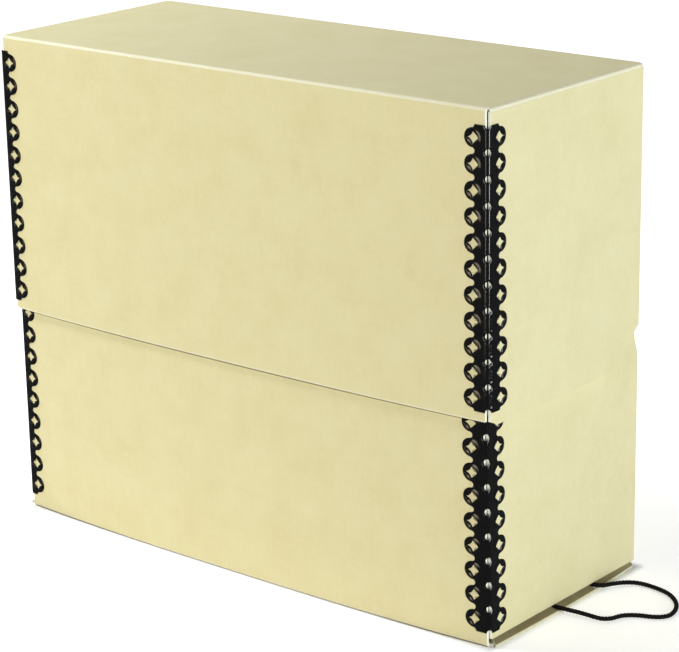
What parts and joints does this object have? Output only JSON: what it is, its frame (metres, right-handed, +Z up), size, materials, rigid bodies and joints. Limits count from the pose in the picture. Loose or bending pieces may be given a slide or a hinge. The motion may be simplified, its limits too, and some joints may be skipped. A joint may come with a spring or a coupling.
{
  "type": "archival box",
  "caption": "Upright flip-top document case of folded buff board, with scalloped black metal edges on its front corners and a pull cord at one end.",
  "frame": {"origin": "middle of the footprint on the surface the box stands on", "axes": "+X along the case to its pull-cord end, +Y to the hinged back, +Z up"},
  "size_m": [0.363, 0.1274, 0.2603],
  "materials": {
    "buff_board": "matte, faintly mottled",
    "black_metal": "gloss enamel",
    "black_cord": "matte twisted thread"
  },
  "bodies": {
    "base": {"base_bottom_panel": "buff_board", "base_front_panel": "buff_board", "base_back_panel": "buff_board", "base_right_end_panel": "buff_board", "base_left_end_panel": "buff_board", "base_right_tuck_flap": "buff_board", "base_left_tuck_flap": "buff_board", "base_metal_edge_right": "black_metal", "base_metal_edge_left": "black_metal", "pull_cord": "black_cord", "cord_knot_front": "black_cord", "cord_knot_rear": "black_cord"},
    "lid": {"lid_top_panel": "buff_board", "lid_front_panel": "buff_board", "lid_back_panel": "buff_board", "lid_right_end_panel": "buff_board", "lid_left_end_panel": "buff_board", "lid_right_tuck_flap": "buff_board", "lid_left_tuck_flap": "buff_board", "lid_metal_edge_right": "black_metal", "lid_metal_edge_left": "black_metal"}
  },
  "joints": [
    {"name": "lid_hinge", "type": "hinge", "parent": "base", "child": "lid", "pos_m": [0, 0.06367, 0.128], "axis": [-1, 0, 0], "range_deg": [0, 160]}
  ]
}
